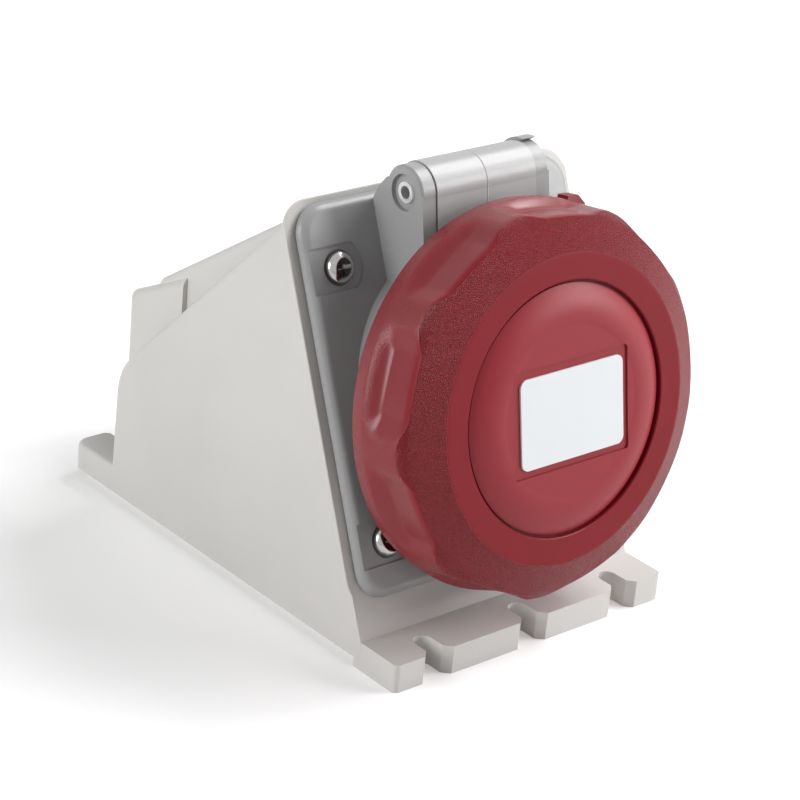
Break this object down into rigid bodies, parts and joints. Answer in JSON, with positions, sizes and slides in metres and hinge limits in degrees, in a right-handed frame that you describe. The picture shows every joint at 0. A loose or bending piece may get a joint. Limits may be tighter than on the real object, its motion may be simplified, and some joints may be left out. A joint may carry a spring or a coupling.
{
  "type": "industrial wall socket",
  "caption": "Angled surface-mounting industrial socket with a wedge-shaped grey box, sprung lid and red bayonet locking ring.",
  "frame": {"origin": "on the wall face, on the plane of symmetry, under the foot line of the box's sloping front", "axes": "+Z out of the wall, -Y towards the side the lid looks at, X across"},
  "size_m": [0.1162, 0.177, 0.1401],
  "materials": {
    "box_grey": "matte",
    "flange_grey": "satin",
    "insert_grey": "satin",
    "gland_grey": "satin",
    "red": "satin",
    "label_white": "satin",
    "rubber": "matte",
    "brass": "satin",
    "steel": "bright"
  },
  "bodies": {
    "housing": {"wall_box": "box_grey", "flange_gasket": "rubber", "socket_flange": "flange_grey", "flange_screws": "steel", "contact_insert": "insert_grey", "insert_cover": "insert_grey", "insert_screws": "steel", "contact_l1": "brass", "contact_l2": "brass", "contact_l3": "brass", "contact_n": "brass", "contact_earth": "brass", "contact_pilot": "brass", "terminal_screws": "steel", "hinge_pin": "steel", "lid_spring": "steel", "gland_body": "gland_grey", "gland_seal": "rubber", "gland_nut": "gland_grey"},
    "lid": {"lid_bracket": "flange_grey", "lid_disc": "red", "label_plate": "label_white", "lid_seal": "rubber", "lid_screws": "steel"},
    "locking_ring": {"locking_ring": "red"}
  },
  "joints": [
    {"name": "lid_hinge", "type": "hinge", "parent": "housing", "child": "lid", "pos_m": [0, 0.03111, 0.13091], "axis": [-1, 0, 0], "range_deg": [0, 120], "stiffness_Nm_per_rad": 0.05, "springref_deg": -57.3},
    {"name": "ring_turn", "type": "hinge", "parent": "lid", "child": "locking_ring", "pos_m": [0, -0.01915, 0.07812], "axis": [0, -0.9836, 0.1805], "range_deg": [-30, 0]}
  ]
}
